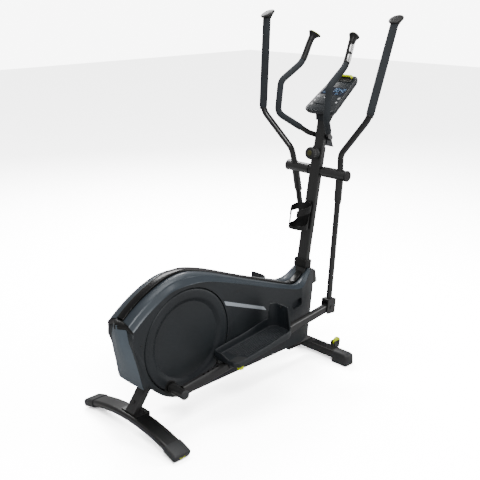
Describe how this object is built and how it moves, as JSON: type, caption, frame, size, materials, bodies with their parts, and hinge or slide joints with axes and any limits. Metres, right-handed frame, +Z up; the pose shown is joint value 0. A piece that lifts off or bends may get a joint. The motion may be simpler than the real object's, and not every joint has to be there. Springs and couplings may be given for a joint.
{
  "type": "elliptical trainer",
  "caption": "Upright elliptical trainer with swinging hand levers, sliding footplates on crank arms, a belt-driven flywheel in a casing, fixed handlebar and console.",
  "frame": {"origin": "middle of the footprint on the floor", "axes": "+X forward from the rear stabilizer to the console, +Y to the user's left, +Z up"},
  "size_m": [1.4212, 0.6362, 1.6492],
  "materials": {
    "anthracite": "satin anthracite metallic plastic",
    "belt_rubber": "ribbed black belt rubber",
    "black_paint": "fine-textured semi-gloss black powder coat",
    "black_plastic": "black moulded plastic",
    "bolt_steel": "zinc-plated steel",
    "charcoal_plastic": "finely textured charcoal moulded plastic",
    "cover_grey": "pale lavender-grey moulded plastic",
    "foam": "black closed-cell foam with fine pores",
    "gloss_black": "polished black plastic",
    "knob_brass": "ribbed black plastic with a dull brass cap",
    "screen": "dark glossy console face",
    "steel": "machined steel",
    "trim_silver": "satin silver trim film",
    "yellow": "fluorescent yellow plastic"
  },
  "bodies": {
    "root": {"bottle_cage": "black_plastic", "casing_left": "charcoal_plastic", "casing_rear_cover": "cover_grey", "casing_right": "charcoal_plastic", "casing_top_strip": "gloss_black", "clamp_hood": "charcoal_plastic", "console_face": "screen", "console_housing": "charcoal_plastic", "crank_bearings": "steel", "drive_belt": "belt_rubber", "fasteners": "bolt_steel", "fixed_handlebar": "black_paint", "flywheel_axle": "steel", "front_end_caps": "charcoal_plastic", "front_stabilizer_tube": "black_paint", "handlebar_foams": "foam", "main_beam": "black_paint", "mast_collar": "black_plastic", "mast_lower": "black_paint", "mast_upper": "black_paint", "pivot_axle": "steel", "pulse_sensors": "bolt_steel", "rear_column": "black_paint", "rear_end_caps": "charcoal_plastic", "rear_saddle": "black_paint", "rear_stabilizer_tube": "black_paint", "shoulder_band_left": "anthracite", "shoulder_band_right": "anthracite", "side_strips": "trim_silver", "tablet_rest": "yellow", "tip_caps": "black_plastic"},
    "crank": {"crank_axle": "black_paint", "crank_pulley": "black_plastic", "crank_disc_right": "charcoal_plastic", "crank_disc_left": "charcoal_plastic"},
    "flywheel": {"flywheel": "steel"},
    "magnet_yoke": {"magnet_yoke": "steel"},
    "mast_knob": {"mast_knob": "knob_brass"},
    "lever_right": {"lever_hub_right": "black_paint", "lever_handle_right": "black_paint", "lever_grip_right": "foam", "lever_tube_right": "black_paint"},
    "arm_right": {"pedal_arm_right": "black_paint", "crank_pin_right": "black_plastic"},
    "pedal_right": {"pedal_right": "charcoal_plastic"},
    "pedal_knob_right": {"pedal_knob_right": "yellow"},
    "transport_wheel_right": {"transport_wheel_right": "yellow"},
    "level_foot_right": {"level_foot_right": "black_plastic"},
    "tip_button_right": {"tip_button_right": "yellow"},
    "lever_left": {"lever_hub_left": "black_paint", "lever_handle_left": "black_paint", "lever_grip_left": "foam", "lever_tube_left": "black_paint"},
    "arm_left": {"pedal_arm_left": "black_paint", "crank_pin_left": "black_plastic"},
    "pedal_left": {"pedal_left": "charcoal_plastic"},
    "pedal_knob_left": {"pedal_knob_left": "yellow"},
    "transport_wheel_left": {"transport_wheel_left": "yellow"},
    "level_foot_left": {"level_foot_left": "black_plastic"},
    "tip_button_left": {"tip_button_left": "yellow"}
  },
  "joints": [
    {"name": "crank_spin", "type": "hinge", "parent": "root", "child": "crank", "pos_m": [-0.40475, 0, 0.3658], "axis": [0, 1, 0], "continuous": true},
    {"name": "flywheel_spin", "type": "hinge", "parent": "root", "child": "flywheel", "pos_m": [0.05145, 0.02, 0.312], "axis": [0, 1, 0], "continuous": true},
    {"name": "magnet_yoke_lift", "type": "hinge", "parent": "root", "child": "magnet_yoke", "pos_m": [-0.11655, 0.035, 0.396], "axis": [0, -1, 0], "range_deg": [0, 8]},
    {"name": "lever_right_swing", "type": "hinge", "parent": "root", "child": "lever_right", "pos_m": [0.49685, -0.11, 0.9318], "axis": [0, -1, 0], "range_deg": [-8.5, 27]},
    {"name": "lever_left_swing", "type": "hinge", "parent": "root", "child": "lever_left", "pos_m": [0.49685, 0.11, 0.9318], "axis": [0, -1, 0], "range_deg": [-27, 8.5]},
    {"name": "arm_right_pivot", "type": "hinge", "parent": "lever_right", "child": "arm_right", "pos_m": [0.42959, -0.15, 0.29183], "axis": [0, -1, 0], "range_deg": [-27, 8.5]},
    {"name": "arm_left_pivot", "type": "hinge", "parent": "lever_left", "child": "arm_left", "pos_m": [0.63832, 0.15, 0.30404], "axis": [0, -1, 0], "range_deg": [-8.5, 27]},
    {"name": "pedal_right_slide", "type": "slide", "parent": "arm_right", "child": "pedal_right", "axis": [0.994, 0, 0.1098], "range_m": [-0.078, 0]},
    {"name": "pedal_knob_right_turn", "type": "hinge", "parent": "pedal_right", "child": "pedal_knob_right", "pos_m": [-0.23665, -0.226, 0.21821], "axis": [-0.1098, 0, 0.994], "range_deg": [0, 90]},
    {"name": "transport_wheel_right_spin", "type": "hinge", "parent": "root", "child": "transport_wheel_right", "pos_m": [0.52045, -0.138, 0.073], "axis": [0, 1, 0], "continuous": true},
    {"name": "level_foot_right_turn", "type": "hinge", "parent": "root", "child": "level_foot_right", "pos_m": [-0.63855, -0.284, 0.015], "axis": [0, 0, 1], "continuous": true},
    {"name": "tip_button_right_press", "type": "slide", "parent": "root", "child": "tip_button_right", "axis": [-0.4945, -0.0816, -0.8653], "range_m": [0, 0.003], "stiffness_N_per_m": 500, "springref_m": -0.001},
    {"name": "pedal_left_slide", "type": "slide", "parent": "arm_left", "child": "pedal_left", "axis": [0.9924, 0, 0.1228], "range_m": [-0.078, 0]},
    {"name": "pedal_knob_left_turn", "type": "hinge", "parent": "pedal_left", "child": "pedal_knob_left", "pos_m": [-0.0292, 0.226, 0.22142], "axis": [-0.1228, 0, 0.9924], "range_deg": [0, 90]},
    {"name": "transport_wheel_left_spin", "type": "hinge", "parent": "root", "child": "transport_wheel_left", "pos_m": [0.52045, 0.138, 0.073], "axis": [0, 1, 0], "continuous": true},
    {"name": "level_foot_left_turn", "type": "hinge", "parent": "root", "child": "level_foot_left", "pos_m": [-0.63855, 0.284, 0.015], "axis": [0, 0, 1], "continuous": true},
    {"name": "tip_button_left_press", "type": "slide", "parent": "root", "child": "tip_button_left", "axis": [-0.4945, 0.0816, -0.8653], "range_m": [0, 0.003], "stiffness_N_per_m": 500, "springref_m": -0.001},
    {"name": "mast_knob_turn", "type": "hinge", "parent": "root", "child": "mast_knob", "pos_m": [0.48818, 0, 1.0148], "axis": [-0.9836, 0, 0.1805], "continuous": true}
  ],
  "couplings": [
    {"joint": "flywheel_spin", "follows": "crank_spin", "ratio": 5.1852},
    {"joint": "lever_left_swing", "follows": "lever_right_swing", "ratio": -1},
    {"joint": "arm_right_pivot", "follows": "lever_right_swing", "ratio": -1},
    {"joint": "arm_left_pivot", "follows": "lever_right_swing", "ratio": 1}
  ]
}
